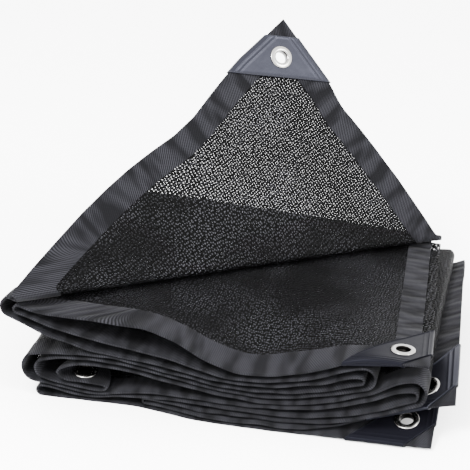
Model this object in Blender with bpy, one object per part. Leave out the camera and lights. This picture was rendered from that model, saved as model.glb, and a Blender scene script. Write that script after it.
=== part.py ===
"""A bound shade cloth, folded in half and then back and forth into a flat pile.

The cloth is a panel of knitted net with woven tape sewn along its four edges, plastic
patches folded over its corners, and metal eyelets. It is folded in half towards the back,
so that there are two sheets joined by a back fold, and the pair runs left and right six
times, one panel on another. The top sheet's front right corner is thrown back as a flap.

Metres, +Z up, +X to the right along the front of the pile, +Y to its back. Distances across
the cloth are measured from its bound edges: along is how far a point lies from a short edge
and deep how far it lies from a long edge, which is at the front of every panel.
"""
import math

import bmesh
import bpy
import numpy as np

MM = 0.001

# the cloth's own sizes
NET_THICK = 1.4 * MM
TAPE_THICK = 2.0 * MM
TAPE_WIDE = 32 * MM
GAP = 0.3 * MM
SEAM_GAP = 0.8 * MM
DEPTH = 288 * MM

# corner patches and eyelets
PATCH_LEG = 80 * MM
PATCH_CUT = 24.5 * MM
PATCH_WALL = 0.9 * MM
SLEEVE_GAP = 0.6 * MM
EYELET_IN = 26.5 * MM
EDGE_EYELET_IN = 17 * MM
EDGE_EYELET_X = -110 * MM
BORE = 6.5 * MM
BARREL = 7.3 * MM
FLANGE = 12 * MM
CREST = 9 * MM
FLANGE_RISE = 1.1 * MM
FLANGE_EDGE = 0.5 * MM
HOLE = 7.6 * MM
HOLE_LONG = 7 * MM

# the pile's outline, front then back
FRONT_Y = -199 * MM
TOP_RIGHT_X = (229 * MM, 210 * MM)
UPPER_END_X = (254 * MM, 236 * MM)
LOWER_END_X = (236 * MM, 237 * MM)

# How the flap is thrown back: its fold line's reach along both edges, its lean, how far the
# cloth behind the line lifts, and how long the cloth's top panel and its space above are.
FLAP_ALONG = 397 * MM
FLAP_DEEP = 284 * MM
FLAP_FOLD = math.radians(124)
FLAP_RADIUS = 5 * MM
FLAP_EASE = 1.14
FLAP_SHEAR = 0.073
TOP_LONG = 404 * MM
TOP_SPACE = 4.8 * MM
FOOT = 70 * MM

# How far the flap's edges bow outward, in millimetres: along the long edge, where it sags
# over the pile's left fold, and down the short edge, both counted from the corner.
LONG_BOW = ((0, 25, 60, 85, 110, 145, 170, 195, 215, 240, 270, 320, 360, 397),
            (0, 2.5, 6, 4.5, 1.5, -3, 0, 11, 17.5, 22, 24.5, 25, 22, 20))
SHORT_BOW = ((0, 80, 108, 140, 200, 250, 284), (3.4, 2, -3.6, -1, 0, -2.5, -5))
BOW_FADE = 120 * MM
BOW_START = 15 * MM

# Heights in millimetres of each sheet at the pile's front, at these places along X.
# T is the sheet whose corner is the flap, B the other one, and the number is the panel.
PLACES = (-172, -150, -95, -35, 45, 110, 165, 215, 255)
FRONT = {
    "B1": (98, 92, 90, 85.5, 51.5, 59, 79, 80, 80),
    "B2": (90, 82, 69, 61, 43.5, 51, 70, 71, 71),
    "T2": (82, 71, 57, 50.5, 38.5, 45, 60, 61, 61),
    "T3": (44, 46.5, 52, 45, 33.5, 37, 53, 54, 54),
    "B3": (38, 40, 47.5, 40.5, 28.5, 31.5, 47.5, 48, 48),
    "B4": (21.5, 21.5, 14.4, 34, 23.5, 26, 42, 64, 66),
    "T4": (16.4, 15.4, 9.4, 18.6, 18.4, 21, 36, 54.5, 56),
    "T5": (11.4, 10.8, 5.2, 14.4, 14, 15, 25.5, 46, 48),
    "B5": (9.8, 9.8, 9.8, 9.8, 9.6, 10.4, 20, 41.5, 44),
    "B6": (5.4, 5.4, 5.4, 5.4, 5.4, 6, 14, 27, 36),
    "T6": (1, 1, 1, 1, 1, 1.6, 2.8, 2.9, 2.9),
}
ORDER = tuple(FRONT)
BACK_TOP = (98, 96, 94, 91, 86, 81, 77, 74, 73)
BACK_LOW = (1, 1, 1, 1, 1, 8, 20, 30, 32)
# of the sheets that reach past the right folds, at the back: at 215 and at 255
BACK_RIGHT = {"B6": (44, 61), "B5": (49, 65), "T5": (54, 67), "T4": (59, 69), "B4": (64, 70)}

# how far forward of the top panel's front edge the lower sheets lie, in millimetres
FORWARD = {"B4": 2, "T4": 4, "T5": 7, "B5": 9, "B6": 13, "T6": 14}
SIDE_BACK = 26 * MM

# Each fold: the panels it joins, its side, and how far out each sheet's fold reaches, in
# millimetres along X, at the front and at the back.
FOLDS = (
    dict(panels=(1, 2), side=-1, T=(-187, -160), B=(-174, -150)),
    dict(panels=(2, 3), side=1, T=(169, 168), B=(180, 180)),
    dict(panels=(3, 4), side=-1, T=(-169, -150), B=(-156, -138)),
    dict(panels=(4, 5), side=1, T=(220, 214), B=(228, 225)),
    dict(panels=(5, 6), side=-1, T=(-155, -145), B=(-46, -128), late=True),
)
FOLD_STEPS = 4
FOLD_REACH = (2.1 * MM, 15 * MM)
LATE = (0.45, 0.95)

# The shares of the depth over which the front's heights turn into the back's: at the left,
# and at the right, where the short edges slope up to the pile's top.
SETTLE_LEFT = 0.5
SETTLE_RIGHT = 0.36
# the right side's slope, how much it eases off, and the share from which it does
SLOPE, EASE, EASE_FROM = 1.35, 1.4, 0.5
SETTLE_BETWEEN = (50 * MM, 150 * MM)

# The roll that the under sheet makes inside the second left fold, at the front: X and height
ROLL = (
    (-137, 18.4), (-115, 15), (-93, 13.4), (-85, 14.6), (-82.5, 17), (-86, 19.4), (-95, 20.3),
    (-110, 21), (-126, 21.8), (-133, 28.5), (-120, 37.4), (-100, 40.6), (-78, 40.8), (-55, 38),
)
ROLL_END = -50 * MM
# how far its legs stay apart where it opens out, towards the back
ROLL_MIDDLE = 0.48
ROLL_REACH = 0.15
ROLL_SPREAD = 240 * MM
ROLL_STEPS = [math.dist(a, b) for a, b in zip(ROLL[:1] + ROLL, ROLL)]
ROLL_SHARES = np.cumsum([ROLL_STEPS[1], *ROLL_STEPS[1:]]) / (sum(ROLL_STEPS) + ROLL_STEPS[1])

# where points are taken, as shares of a panel's length and of the cloth's depth
PANEL_SHARES = (0.14, 0.28, 0.42, 0.56, 0.7, 0.85)
LAST_SHARES = (0.15, 0.35, 0.55, 0.8)
NEAR_END = tuple(MM * v for v in (45, 58, 70, 84, 105))
TOP_ALONG = NEAR_END + tuple(MM * v for v in (135, 175, 215, 255, 300))
# the lines after the fold line, and how much further along they lie at the long edge
AFTER_FLAP = ((366 * MM, 34.5 * MM), (380 * MM, 22.2 * MM), (393 * MM, 10.7 * MM))
T_SHARES = (0, 0.06, 0.13, 0.21, 0.3, 0.42, 0.58, 0.76, 0.9, 1)
B_SHARES = (1, 0.76, 0.54, 0.36, 0.23, 0.14, 0.09, 0.045, 0)
FLAP_STEPS = tuple(MM * v for v in (12, 8, 4, 0, -2, -30))
BACK_STEPS = 3


def smooth(a, b, value):
    s = min(max((value - a) / (b - a), 0), 1)
    return s * s * (3 - 2 * s)


def blend(pair, share):
    return pair[0] + (pair[1] - pair[0]) * share


def settle(x, share):
    """How far a place has gone from the front's heights to the back's, 0 to 1."""
    left = smooth(0, SETTLE_LEFT, share)
    far = min(share / SETTLE_RIGHT, 1)
    right = SLOPE * far - EASE * max(far - EASE_FROM, 0) ** 2
    return blend((left, right), smooth(*SETTLE_BETWEEN, x))


def curve(row, x):
    """Height on a smooth curve through a row of heights, in metres."""
    x = x / MM
    i = int(np.clip(np.searchsorted(PLACES, x) - 1, 0, len(PLACES) - 2))
    a, b = PLACES[i], PLACES[i + 1]
    s = (x - a) / (b - a)

    def slope(k):
        lo, hi = max(k - 1, 0), min(k + 1, len(row) - 1)
        return (row[hi] - row[lo]) / (PLACES[hi] - PLACES[lo])

    if s < 0 or s > 1:
        end = i if s < 0 else i + 1
        return (row[end] + slope(end) * (x - PLACES[end])) * MM
    m, n = slope(i) * (b - a), slope(i + 1) * (b - a)
    h = (2 * s**3 - 3 * s**2 + 1) * row[i] + (s**3 - 2 * s**2 + s) * m
    return (h + (3 * s**2 - 2 * s**3) * row[i + 1] + (s**3 - s**2) * n) * MM


def back_row(name):
    """Heights at the pile's back: evenly spaced, but for the few sheets at the right."""
    share = ORDER.index(name) / (len(ORDER) - 1)
    row = [top + (low - top) * share for top, low in zip(BACK_TOP, BACK_LOW)]
    if name in BACK_RIGHT:
        row[-2:] = BACK_RIGHT[name]
    return row


BACK = {name: back_row(name) for name in ORDER}


def height(name, x, share):
    if name == "T1":
        return height("B1", x, share) + TOP_SPACE
    return blend((curve(FRONT[name], x), curve(BACK[name], x)), settle(x, share))


def front_y(name, x):
    """The lower sheets' front edges lie a little further forward than the top one's."""
    forward = FORWARD.get(name, 0) * MM * smooth(-50 * MM, 30 * MM, x)
    if name == "B6":
        forward -= SIDE_BACK * smooth(110 * MM, 215 * MM, x)
    return FRONT_Y - forward


def place(name, x, share, z=None):
    """A point of a sheet, on its own height unless another is given."""
    y = front_y(name, x) * (1 - share) + (FRONT_Y + DEPTH) * share
    return np.array((x, y, height(name, x, share) if z is None else z))


def fold_start(fold, sheet, share):
    """Where a sheet leaves its panel for a fold, and how far out the fold goes from there."""
    if "late" in fold:
        tip = blend(fold[sheet], smooth(*LATE, share)) * MM
    else:
        tip = blend(fold[sheet], share) * MM
    upper, lower = (sheet + str(p) for p in fold["panels"])
    rise = height(upper, tip, share) - height(lower, tip, share)
    reach = min(max(rise / 2, FOLD_REACH[0]), FOLD_REACH[1])
    return tip - fold["side"] * reach, reach


def ends(panel, sheet, share):
    """The X at which a panel starts and the X at which it ends, in the order of the path."""
    if panel == 1:
        start = blend(TOP_RIGHT_X, share)
    else:
        start = fold_start(FOLDS[panel - 2], sheet, share)[0]
    if panel == 6:
        stop = blend(LOWER_END_X if sheet == "T" else UPPER_END_X, share)
    else:
        stop = fold_start(FOLDS[panel - 1], sheet, share)[0]
    return start, stop


def on_panel(panel, sheet, share, s):
    start, stop = ends(panel, sheet, share)
    return place(sheet + str(panel), start + (stop - start) * s, share)


def on_last(sheet, share, s):
    """The bottom panel's stretch between its fold and the part near its short edge."""
    start, stop = ends(6, sheet, share)
    x = start + (stop - NEAR_END[-1] - start) * s
    return place(sheet + "6", x, share)


def on_fold(number, sheet, share, s):
    fold = FOLDS[number]
    x0, reach = fold_start(fold, sheet, share)
    upper, lower = (sheet + str(p) for p in fold["panels"])
    high, low = height(upper, x0, share), height(lower, x0, share)
    x = x0 + fold["side"] * reach * math.sin(math.pi * s)
    z = (high + low) / 2 + (high - low) / 2 * math.cos(math.pi * s)
    first, second = (place(name, x, share, z) for name in (upper, lower))
    return first + (second - first) * s


def on_roll(sheet, share, i):
    """The stretch of panel 4 next to its left fold, where the B sheet makes a roll."""
    start, _ = ends(4, sheet, share)
    plain_x = start + (ROLL_END - start) * ROLL_SHARES[i]
    plain = place(sheet + "4", plain_x, share)
    if sheet == "T":
        return plain
    x, z = (v * MM for v in ROLL[i])
    back_z = curve(BACK["B4"], plain_x)
    settled = settle(x, share)
    opened = min(settled * 2, 1)
    apart = ROLL_SHARES[i] - ROLL_MIDDLE
    spread = ROLL_SPREAD * apart * math.exp(-((apart / ROLL_REACH) ** 2))
    spread *= opened**2 * (1 - opened)
    return place("B4", blend((x, plain_x), opened), share, blend((z, back_z), settled) + spread)


def in_top_panel(sheet, along, deep):
    """A point of the first panel. Its left fold comes in towards the back, and the sheet is
    drawn in with it, most at the left and not at all along its right edge."""
    share = deep / DEPTH
    start, stop = ends(1, sheet, share)
    drawn = (start - stop) / TOP_LONG - 1
    return place(sheet + "1", start - along * (1 + drawn * along / TOP_LONG), share)


def fold_line():
    left = in_top_panel("T", FLAP_ALONG, 0)
    right = in_top_panel("T", 0, FLAP_DEEP)
    return left, right


LINE_LEFT, LINE_RIGHT = fold_line()
LINE_FLAT = math.hypot(FLAP_ALONG, FLAP_DEEP)
LINE = (LINE_RIGHT - LINE_LEFT) / np.linalg.norm(LINE_RIGHT - LINE_LEFT)
LINE_SCALE = np.linalg.norm(LINE_RIGHT - LINE_LEFT) / LINE_FLAT
OUTWARD = np.cross(LINE, (0, 0, 1))
OUTWARD /= np.linalg.norm(OUTWARD)
UPWARD = np.cross(OUTWARD, LINE)


def past_line(along, deep):
    """Distance of a point of the top sheet from the flap's fold line, more than 0 on the flap."""
    return (FLAP_ALONG * FLAP_DEEP - along * FLAP_DEEP - deep * FLAP_ALONG) / LINE_FLAT


def line_point(along, deep):
    far = ((FLAP_ALONG - along) * FLAP_ALONG + deep * FLAP_DEEP) / LINE_FLAT * LINE_SCALE
    return LINE_LEFT + LINE * far


def bow(along, deep):
    """How far the flap's bowed edges carry a point to the right, less with distance from them."""
    long_edge = np.interp(along / MM, *LONG_BOW) * (1 - smooth(0, BOW_FADE, deep))
    short_edge = np.interp(deep / MM, *SHORT_BOW) * (1 - smooth(0, BOW_FADE, along))
    return (short_edge - long_edge) * MM


def on_top(along, deep):
    """The top sheet: it lies on the pile behind the fold line and stands up in front of it."""
    out = past_line(along, deep)
    if out <= 0:
        foot = FLAP_ALONG * (1 - deep / FLAP_DEEP)
        lift = line_point(foot, deep) - in_top_panel("T", foot, deep)
        return in_top_panel("T", along, deep) + lift * (1 - smooth(0, FOOT, -out))
    out *= FLAP_EASE
    arc = FLAP_RADIUS * FLAP_FOLD
    turn = min(out / FLAP_RADIUS, FLAP_FOLD)
    rest = max(out - arc, 0)
    go = FLAP_RADIUS * math.sin(turn) + rest * math.cos(turn)
    up = FLAP_RADIUS * (1 - math.cos(turn)) + rest * math.sin(turn)
    point = line_point(along, deep) + OUTWARD * go + UPWARD * up + LINE * FLAP_SHEAR * rest
    return point + LINE * bow(along, deep) * smooth(0, BOW_START, out)


def near_end(panel, sheet, along, deep):
    """A point at a distance along from the short edge of the first or the last panel."""
    if panel == 1 and sheet == "T":
        return on_top(along, deep)
    if panel == 1:
        return in_top_panel(sheet, along, deep)
    share = deep / DEPTH
    return place(sheet + "6", ends(6, sheet, share)[1] - along, share)


def slanted(step, deep):
    """How far along the panel a line lies that runs beside the flap's fold line."""
    deep = min(deep, TAPE_WIDE + SEAM_GAP)
    return (FLAP_ALONG * (FLAP_DEEP - deep) - step * LINE_FLAT) / FLAP_DEEP


def leaning(along, slant, deep):
    """A line that still leans a little, from the tape's inner edge out to the long edge."""
    return along + slant * max(1 - deep / (TAPE_WIDE + SEAM_GAP), 0)


def spots(tape):
    """Every place along the path as a function of sheet and depth. The net's own path starts
    and ends inside the short edges' tape, and the long tapes run to the very edge."""
    inner = TAPE_WIDE + SEAM_GAP
    first = [0, PATCH_CUT, inner] if tape else [inner]
    out = [lambda sheet, deep, a=a: near_end(1, sheet, a, deep) for a in first]
    for a in TOP_ALONG:
        out.append(lambda sheet, deep, a=a: near_end(1, sheet, a, deep))
    for step in FLAP_STEPS[:-1]:
        out.append(lambda sheet, deep, b=step: near_end(1, sheet, slanted(b, deep), deep))
    for a, slant in AFTER_FLAP:
        out.append(lambda sheet, deep, a=a, m=slant: near_end(1, sheet, leaning(a, m, deep), deep))
    for number in range(len(FOLDS)):
        for k in range(FOLD_STEPS + 1):
            s = (k + 0.5) / (FOLD_STEPS + 1)
            out.append(lambda sheet, deep, n=number, s=s: on_fold(n, sheet, deep / DEPTH, s))
        panel = number + 2
        if panel == 6:
            continue
        if panel == 4:
            for i in range(len(ROLL)):
                out.append(lambda sheet, deep, i=i: on_roll(sheet, deep / DEPTH, i))
        for s in PANEL_SHARES if panel != 4 else PANEL_SHARES[2:]:
            out.append(lambda sheet, deep, p=panel, s=s: on_panel(p, sheet, deep / DEPTH, s))
    for s in LAST_SHARES:
        out.append(lambda sheet, deep, s=s: on_last(sheet, deep / DEPTH, s))
    last = list(NEAR_END[::-1])
    last += [inner, PATCH_CUT, 0] if tape else [inner]
    out += [lambda sheet, deep, a=a: near_end(6, sheet, a, deep) for a in last]
    return out


def top_depths(along, first):
    """Depths across the top sheet, crowded where the sheet turns up into the flap."""
    line = [(FLAP_ALONG * FLAP_DEEP - along * FLAP_DEEP - v * LINE_FLAT) / FLAP_ALONG
            for v in FLAP_STEPS]
    low, high = max(line[0], first), min(max(line[-1], first), DEPTH)
    depths = [first, (first + low) / 2] + line + [(high + DEPTH) / 2, DEPTH]
    step = 2 * MM
    count = len(depths)
    for i in range(count):
        depths[i] = min(max(depths[i], first + i * step), DEPTH - (count - 1 - i) * step)
    return depths


def round_back(top, under):
    """Points on the back fold, from the T sheet's back edge to the B sheet's."""
    middle, half = (top + under) / 2, (top - under) / 2
    bulge = np.array((0, np.linalg.norm(half), 0))
    angles = [math.pi * (k + 1) / (BACK_STEPS + 1) for k in range(BACK_STEPS)]
    return [middle + half * math.cos(a) + bulge * math.sin(a) for a in angles]


def across(spot, t_depths, b_depths):
    top = [spot("T", d) for d in t_depths]
    under = [spot("B", d) for d in b_depths]
    return top + round_back(top[-1], under[0]) + under


def thicken(grid, thick):
    """A closed mesh around a grid of points: two skins and the rims between them."""
    grid = np.array(grid)
    normals = np.cross(np.gradient(grid, axis=0), np.gradient(grid, axis=1))
    normals /= np.linalg.norm(normals, axis=2)[:, :, None]
    rows, cols = grid.shape[:2]
    skins = [grid + normals * thick / 2, grid - normals * thick / 2]
    verts = np.concatenate([s.reshape(-1, 3) for s in skins])
    size = rows * cols

    def at(skin, i, j):
        return skin * size + i * cols + j

    faces = []
    for i in range(rows - 1):
        for j in range(cols - 1):
            faces.append((at(0, i, j), at(0, i + 1, j), at(0, i + 1, j + 1), at(0, i, j + 1)))
            faces.append((at(1, i, j), at(1, i, j + 1), at(1, i + 1, j + 1), at(1, i + 1, j)))
    for i in range(rows - 1):
        for j, flip in ((0, False), (cols - 1, True)):
            rim = (at(0, i, j), at(1, i, j), at(1, i + 1, j), at(0, i + 1, j))
            faces.append(rim[::-1] if flip else rim)
    for j in range(cols - 1):
        for i, flip in ((0, True), (rows - 1, False)):
            rim = (at(0, i, j), at(1, i, j), at(1, i, j + 1), at(0, i, j + 1))
            faces.append(rim[::-1] if flip else rim)
    return verts, faces


def material(name, colour, roughness, metallic=0.0):
    mat = bpy.data.materials.new(name)
    mat.use_nodes = True
    shader = mat.node_tree.nodes["Principled BSDF"]
    shader.inputs["Base Color"].default_value = (*colour, 1)
    shader.inputs["Roughness"].default_value = roughness
    shader.inputs["Metallic"].default_value = metallic
    return mat


def add_object(name, verts, faces, mat, angle=60):
    mesh = bpy.data.meshes.new(name)
    mesh.from_pydata([tuple(v) for v in verts], [], faces)
    bm = bmesh.new()
    bm.from_mesh(mesh)
    bmesh.ops.triangulate(bm, faces=bm.faces[:])
    bmesh.ops.recalc_face_normals(bm, faces=bm.faces[:])
    bm.to_mesh(mesh)
    bm.free()
    mesh.shade_smooth()
    mesh.set_sharp_from_angle(angle=math.radians(angle))
    mesh.materials.append(mat)
    obj = bpy.data.objects.new(name, mesh)
    bpy.context.scene.collection.objects.link(obj)
    return obj


def cut(obj, cutter):
    mod = obj.modifiers.new(cutter.name, "BOOLEAN")
    mod.operation = "DIFFERENCE"
    mod.solver = "EXACT"
    mod.object = cutter


def build_net(mat):
    inner = TAPE_WIDE + SEAM_GAP
    rows = []
    places = spots(tape=False)
    flap_lines = [slanted(step, inner) for step in FLAP_STEPS[:-1]]
    tops = [inner, *TOP_ALONG, *flap_lines, *(a for a, _ in AFTER_FLAP)]
    plain = [inner + (DEPTH - inner) * s for s in T_SHARES]
    under = [inner + (DEPTH - inner) * s for s in B_SHARES]
    for k, spot in enumerate(places):
        depths = top_depths(tops[k], inner) if k < len(tops) else plain
        rows.append(across(spot, depths, under))
    verts, faces = thicken(rows, NET_THICK)
    return add_object("net", verts, faces, mat)


def build_long_tape(name, sheet, mat):
    """A length of tape along a long edge, which follows every panel and fold."""
    rows = [[spot(sheet, 0), spot(sheet, TAPE_WIDE / 2), spot(sheet, TAPE_WIDE)]
            for spot in spots(tape=True)]
    verts, faces = thicken(rows, TAPE_THICK)
    return add_object(name, verts, faces, mat)


def build_end_tape(name, panel, mat):
    """A length of tape along a short edge: the T sheet's part, the back fold, the B sheet's."""
    inner = TAPE_WIDE + SEAM_GAP
    under = [inner + (DEPTH - inner) * s for s in B_SHARES]
    rows = []
    for along in (0, TAPE_WIDE / 2, TAPE_WIDE):
        depths = top_depths(along, inner) if panel == 1 else [
            inner + (DEPTH - inner) * s for s in T_SHARES]
        rows.append(across(
            lambda sheet, deep, a=along: near_end(panel, sheet, a, deep), depths, under))
    verts, faces = thicken(rows, TAPE_THICK)
    return add_object(name, verts, faces, mat)


def frame_at(surface, along, deep):
    """A point of the cloth near a corner, with the cloth's normal there."""
    step = 0.5 * MM
    point = surface(along, deep)
    a = surface(along + step, deep) - surface(along - step, deep)
    b = surface(along, deep + step) - surface(along, deep - step)
    normal = np.cross(a, b)
    return point, normal / np.linalg.norm(normal)


def build_patch(name, surface, mat):
    """A corner patch: a flat sleeve around the corner, open at the tip's cut and at its
    inner edge, which runs slantwise from one bound edge to the other."""
    across_steps = 6
    reach = [PATCH_CUT + (PATCH_LEG - PATCH_CUT) * s for s in (0, 0.25, 0.5, 0.75, 1)]
    half = TAPE_THICK / 2 + SLEEVE_GAP

    def loop(size, past, lift):
        points = []
        for side in (1, -1):
            for k in range(across_steps + 1):
                s = k / across_steps if side == 1 else 1 - k / across_steps
                along = -past + (size + 2 * past) * s
                point, normal = frame_at(surface, along, size - along)
                points.append(point + normal * lift * side)
        return points

    loops = [loop(size, SLEEVE_GAP + PATCH_WALL, half + PATCH_WALL) for size in reach]
    loops += [loop(size, SLEEVE_GAP, half) for size in reversed(reach)]
    count = len(loops[0])
    verts = [p for ring in loops for p in ring]
    faces = []
    for i in range(len(loops)):
        nxt = (i + 1) % len(loops)
        for j in range(count):
            k = (j + 1) % count
            faces.append((i * count + j, i * count + k, nxt * count + k, nxt * count + j))
    return add_object(name, verts, faces, mat, angle=35)


def turned(name, point, normal, profile, mat, segments=16):
    """A ring turned about the cloth's normal from a closed outline of (radius, height)."""
    side = np.cross(normal, (0, 1, 0))
    side /= np.linalg.norm(side)
    other = np.cross(normal, side)
    verts = []
    for k in range(segments):
        turn = 2 * math.pi * k / segments
        ray = side * math.cos(turn) + other * math.sin(turn)
        verts += [point + ray * r + normal * h for r, h in profile]
    count = len(profile)
    faces = []
    for k in range(segments):
        nxt = (k + 1) % segments
        for j in range(count):
            m = (j + 1) % count
            faces.append((k * count + j, nxt * count + j, nxt * count + m, k * count + m))
    return add_object(name, verts, faces, mat, angle=50)


def build_eyelet(name, point, normal, seat, mat):
    """A two-part eyelet: a barrel through the cloth and a domed flange on each face."""
    low, high = seat + GAP, seat + GAP + FLANGE_RISE
    half = [(BARREL, low), (FLANGE, low), (FLANGE, low + FLANGE_EDGE), (CREST, high),
            (BORE, high - FLANGE_EDGE)]
    profile = half + [(r, -h) for r, h in reversed(half)]
    return turned(name, point, normal, profile, mat)


def hole_cutter(name, point, normal):
    """A round cutter for the eyelet's hole, left out of the model."""
    bm = bmesh.new()
    bmesh.ops.create_cone(bm, cap_ends=True, segments=20, radius1=HOLE, radius2=HOLE,
                          depth=HOLE_LONG)
    mesh = bpy.data.meshes.new(name)
    bm.to_mesh(mesh)
    bm.free()
    obj = bpy.data.objects.new(name, mesh)
    bpy.context.scene.collection.objects.link(obj)
    side = np.cross(normal, (0, 1, 0))
    side /= np.linalg.norm(side)
    other = np.cross(normal, side)
    for v in mesh.vertices:
        x, y, z = v.co
        v.co = point + side * x + other * y + normal * z
    obj.hide_render = True
    obj.display_type = "WIRE"
    return obj


def centre_on_floor(objects):
    """Moves every mesh so that the pile stands on the origin, in the middle of its outline."""
    points = np.array([v.co for o in objects for v in o.data.vertices])
    low, high = points.min(0), points.max(0)
    shift = np.array(((low[0] + high[0]) / 2, (low[1] + high[1]) / 2, low[2]))
    for obj in bpy.context.scene.objects:
        for v in obj.data.vertices:
            v.co = np.array(v.co) - shift
    print("moved by", shift, "size", high - low)


def main():
    for obj in list(bpy.data.objects):
        bpy.data.objects.remove(obj)
    net_mat = material("knitted net", (0.02, 0.02, 0.022), 0.75)
    tape_mat = material("woven tape", (0.035, 0.035, 0.037), 0.85)
    patch_mat = material("plastic patch", (0.02, 0.022, 0.03), 0.35)
    metal = material("nickel", (0.75, 0.74, 0.72), 0.25, 1.0)

    net = build_net(net_mat)
    tape_top = build_long_tape("tape_top", "T", tape_mat)
    tape_under = build_long_tape("tape_under", "B", tape_mat)
    end_upper = build_end_tape("tape_end_upper", 1, tape_mat)
    end_lower = build_end_tape("tape_end_lower", 6, tape_mat)
    objects = [net, tape_top, tape_under, end_upper, end_lower]

    corners = (
        ("flap", 1, "T", tape_top, end_upper),
        ("top", 1, "B", tape_under, end_upper),
        ("side", 6, "B", tape_under, end_lower),
        ("floor", 6, "T", tape_top, end_lower),
    )
    for name, panel, sheet, long_tape, end_tape in corners:
        def surface(along, deep, p=panel, s=sheet):
            return near_end(p, s, along, deep)

        patch = build_patch(f"corner_{name}", surface, patch_mat)
        point, normal = frame_at(surface, EYELET_IN, EYELET_IN)
        cutter = hole_cutter(f"hole_{name}", point, normal)
        for obj in (patch, long_tape, end_tape):
            cut(obj, cutter)
        seat = TAPE_THICK / 2 + SLEEVE_GAP + PATCH_WALL
        objects += [patch, build_eyelet(f"eyelet_{name}", point, normal, seat, metal)]

    roll = [i for i, (x, _) in enumerate(ROLL) if x * MM == EDGE_EYELET_X][0]
    share = EDGE_EYELET_IN / DEPTH
    point = on_roll("B", share, roll)
    normal = np.cross(on_roll("B", share, roll + 1) - on_roll("B", share, roll - 1),
                      on_roll("B", share * 1.2, roll) - on_roll("B", share * 0.8, roll))
    normal /= np.linalg.norm(normal)
    cut(tape_under, hole_cutter("hole_edge", point, normal))
    seat = TAPE_THICK / 2 + SLEEVE_GAP
    objects.append(build_eyelet("eyelet_edge", point, normal, seat, metal))
    centre_on_floor(objects)


main()
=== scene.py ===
# %% [markdown]
# # A folded shade cloth
# The cloth is a panel of black knitted net, bound with woven tape along its four edges. A
# plastic patch holds each corner, with a metal eyelet in it, and more eyelets sit along the
# edges. It lies folded in half and then back and forth, with one corner thrown back.
# A CAD model of it is loaded first. It fixes every size and place, and this lesson then
# dresses it with finer folds, knitting, tape, plastic and metal.

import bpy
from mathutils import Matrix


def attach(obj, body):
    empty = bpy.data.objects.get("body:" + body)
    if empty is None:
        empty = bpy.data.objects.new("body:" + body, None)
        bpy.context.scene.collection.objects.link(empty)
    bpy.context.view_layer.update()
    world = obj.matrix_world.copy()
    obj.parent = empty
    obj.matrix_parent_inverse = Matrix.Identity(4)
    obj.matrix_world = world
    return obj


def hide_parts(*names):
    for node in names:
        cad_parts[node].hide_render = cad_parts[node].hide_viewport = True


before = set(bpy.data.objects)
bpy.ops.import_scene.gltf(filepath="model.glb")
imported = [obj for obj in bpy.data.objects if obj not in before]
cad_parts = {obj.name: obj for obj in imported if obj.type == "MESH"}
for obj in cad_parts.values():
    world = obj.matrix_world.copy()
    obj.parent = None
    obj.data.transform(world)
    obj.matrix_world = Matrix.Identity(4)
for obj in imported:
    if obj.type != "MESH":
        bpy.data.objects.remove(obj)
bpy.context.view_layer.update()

# %% Blender's modules and the unit
import math

import bmesh
import bpy
import numpy as np
from mathutils import Matrix, Vector, noise

MM = 0.001

# %% [markdown]
# ## The camera
# The photograph was taken with a long lens from a little to the right and well above the
# table. A long lens keeps the flap and the pile nearly free of perspective. The folds were
# worked out in their own frame, and PILE_SHIFT carries them to the model's frame.

# %% Make the camera
PILE_SHIFT = np.array((33.27, -48.24, -0.26)) * MM
AIM = Vector((0, 0, 0.1)) - Vector(PILE_SHIFT)
azimuth, elevation, distance = math.radians(13), math.radians(25), 1.6
back = Vector((math.sin(azimuth) * math.cos(elevation),
               -math.cos(azimuth) * math.cos(elevation), math.sin(elevation)))
camera_data = bpy.data.cameras.new("camera")
camera_data.lens = 116
camera_data.sensor_width = 36
camera = bpy.data.objects.new("camera", camera_data)
camera.location = AIM + back * distance
camera.rotation_euler = (-back).to_track_quat("-Z", "Y").to_euler()
bpy.context.scene.collection.objects.link(camera)
bpy.context.scene.camera = camera
print("camera at", [round(v, 3) for v in camera.location])

# %% [markdown]
# ## The folds as functions
# A folded cloth could be drawn with a cloth simulation, but a simulation wouldn't put each
# layer where the photograph has it. Here a function gives the place in space of every point
# of the flat cloth. "along" is the distance from a short edge and "deep" the distance from
# a long edge, which lies at the front. The cloth has two sheets, T and B, joined at the back.
# The pile has six panels, and panel 1 is on top.

# %% Sizes of the cloth and of the pile
TAPE_THICK = 1.9 * MM
TAPE_WIDE = 32 * MM
SEAM_GAP = 0.8 * MM
DEPTH = 288 * MM
FRONT_Y = -199 * MM
TOP_RIGHT_X = (229 * MM, 210 * MM)
UPPER_END_X = (254 * MM, 236 * MM)
LOWER_END_X = (236 * MM, 237 * MM)
FLAP_ALONG = 397 * MM
FLAP_DEEP = 284 * MM
FLAP_FOLD = math.radians(124)
FLAP_RADIUS = 5 * MM
FLAP_EASE = 1.14
FLAP_SHEAR = 0.073
TOP_LONG = 404 * MM
TOP_SPACE = 4.8 * MM
FOOT = 70 * MM
BOW_FADE = 120 * MM
BOW_START = 15 * MM
LONG_BOW = ((0, 25, 60, 85, 110, 145, 170, 195, 215, 240, 270, 320, 360, 397),
            (0, 2.5, 6, 4.5, 1.5, -3, 0, 11, 17.5, 22, 24.5, 25, 22, 20))
SHORT_BOW = ((0, 80, 108, 140, 200, 250, 284), (3.4, 2, -3.6, -1, 0, -2.5, -5))

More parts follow.
